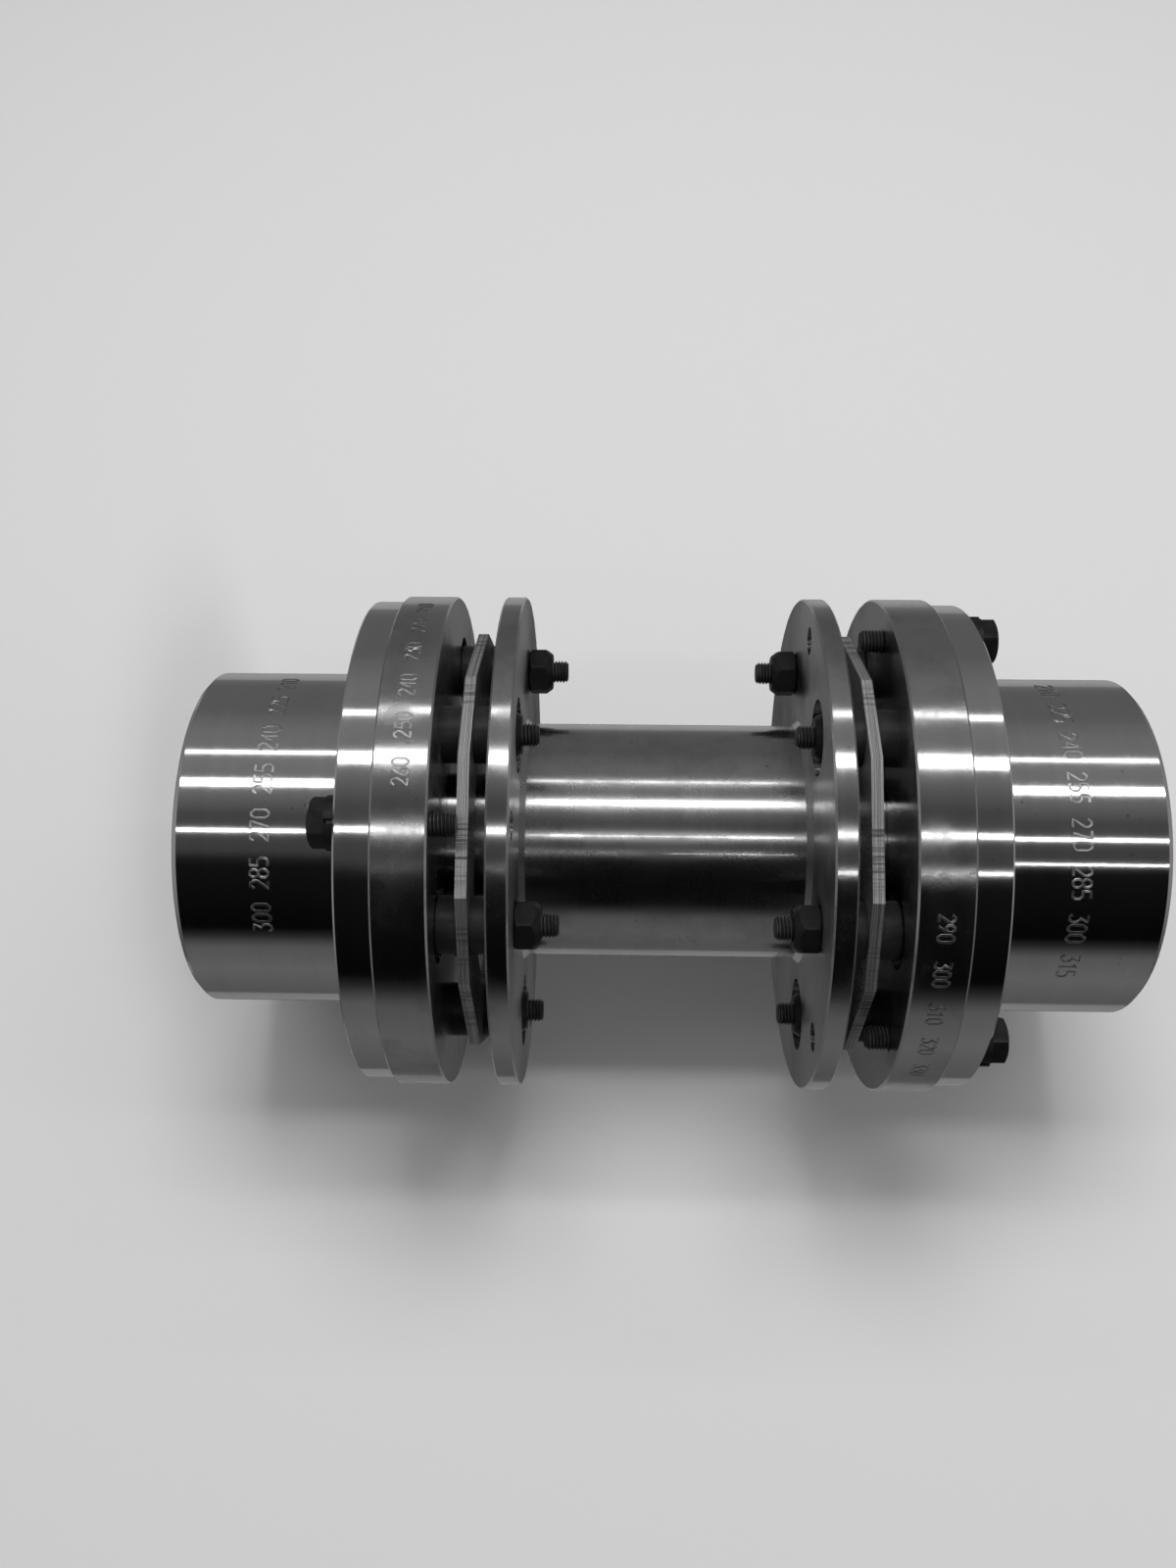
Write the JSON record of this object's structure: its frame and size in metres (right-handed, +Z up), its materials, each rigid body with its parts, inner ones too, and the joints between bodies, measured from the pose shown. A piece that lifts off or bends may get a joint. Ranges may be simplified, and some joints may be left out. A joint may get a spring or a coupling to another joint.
{
  "type": "disc coupling",
  "caption": "Double disc shaft coupling: two bored hubs with adapter rings, bolted through laminated disc packs to a tubular centre member with two flanges.",
  "frame": {"origin": "centre of the lower hub's outer end face, where the coupling stands", "axes": "+Z up along the shaft axis to the upper hub; +X through the middle of an adapter bolt on each end; +Y through the upper hub's keyway"},
  "size_m": [0.137, 0.137, 0.2515],
  "materials": {
    "turned_steel": "turned, with fine lathe lines round the axis",
    "disc_steel": "rolled spring steel, satin, edges as cut",
    "black_oxide": "black oxide, slightly oily satin"
  },
  "bodies": {
    "root": {"centre_tube": "turned_steel", "lower_adapter": "turned_steel", "lower_adapter_bolt_1": "black_oxide", "lower_adapter_bolt_2": "black_oxide", "lower_adapter_bolt_3": "black_oxide", "lower_adapter_nut_1": "black_oxide", "lower_adapter_nut_2": "black_oxide", "lower_adapter_nut_3": "black_oxide", "lower_cap_screw_1": "black_oxide", "lower_cap_screw_2": "black_oxide", "lower_cap_screw_3": "black_oxide", "lower_centre_bolt_1": "black_oxide", "lower_centre_bolt_2": "black_oxide", "lower_centre_bolt_3": "black_oxide", "lower_centre_flange": "turned_steel", "lower_centre_nut_1": "black_oxide", "lower_centre_nut_2": "black_oxide", "lower_centre_nut_3": "black_oxide", "lower_disc_pack": "disc_steel", "lower_hub": "turned_steel", "lower_inner_spacers": "black_oxide", "lower_lock_washers": "black_oxide", "lower_outer_spacers": "black_oxide", "upper_adapter": "turned_steel", "upper_adapter_bolt_1": "black_oxide", "upper_adapter_bolt_2": "black_oxide", "upper_adapter_bolt_3": "black_oxide", "upper_adapter_nut_1": "black_oxide", "upper_adapter_nut_2": "black_oxide", "upper_adapter_nut_3": "black_oxide", "upper_cap_screw_1": "black_oxide", "upper_cap_screw_2": "black_oxide", "upper_cap_screw_3": "black_oxide", "upper_centre_bolt_1": "black_oxide", "upper_centre_bolt_2": "black_oxide", "upper_centre_bolt_3": "black_oxide", "upper_centre_flange": "turned_steel", "upper_centre_nut_1": "black_oxide", "upper_centre_nut_2": "black_oxide", "upper_centre_nut_3": "black_oxide", "upper_disc_pack": "disc_steel", "upper_hub": "turned_steel", "upper_inner_spacers": "black_oxide", "upper_lock_washers": "black_oxide", "upper_outer_spacers": "black_oxide"}
  },
  "joints": []
}
